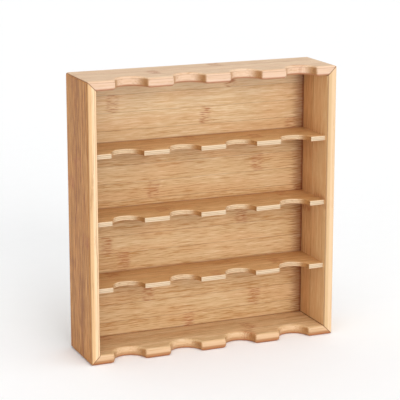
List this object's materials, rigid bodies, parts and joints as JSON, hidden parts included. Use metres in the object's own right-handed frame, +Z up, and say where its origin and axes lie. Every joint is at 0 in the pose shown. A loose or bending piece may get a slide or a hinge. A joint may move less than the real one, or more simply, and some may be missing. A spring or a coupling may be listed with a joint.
{
  "type": "tiered storage rack",
  "caption": "Open bamboo rack with a mitred frame, housed shelves and finger notches along every front edge, to stand on a counter or hang on a wall.",
  "frame": {"origin": "middle of the rack's underside", "axes": "+X to the right seen from the open front, +Y towards the wall behind, +Z up"},
  "size_m": [0.27, 0.065, 0.288],
  "materials": {
    "bamboo_side": "clear satin lacquer on carbonised bamboo",
    "bamboo_board": "clear satin lacquer on bamboo",
    "bamboo_panel": "clear satin lacquer on bamboo",
    "bamboo_shelf": "clear satin lacquer on bamboo",
    "bamboo_spline": "unfinished bamboo",
    "hanger_steel": "zinc plated",
    "screw_steel": "zinc plated"
  },
  "bodies": {
    "root": {"left_side": "bamboo_side", "right_side": "bamboo_side", "top_board": "bamboo_board", "bottom_board": "bamboo_board", "back_panel": "bamboo_panel", "lower_shelf": "bamboo_shelf", "middle_shelf": "bamboo_shelf", "upper_shelf": "bamboo_shelf", "spline_top_left": "bamboo_spline", "spline_top_right": "bamboo_spline", "spline_bottom_left": "bamboo_spline", "spline_bottom_right": "bamboo_spline", "hanger_plate_left": "hanger_steel", "hanger_screw_left_outer": "screw_steel", "hanger_screw_left_inner": "screw_steel", "hanger_plate_right": "hanger_steel", "hanger_screw_right_outer": "screw_steel", "hanger_screw_right_inner": "screw_steel"}
  },
  "joints": []
}
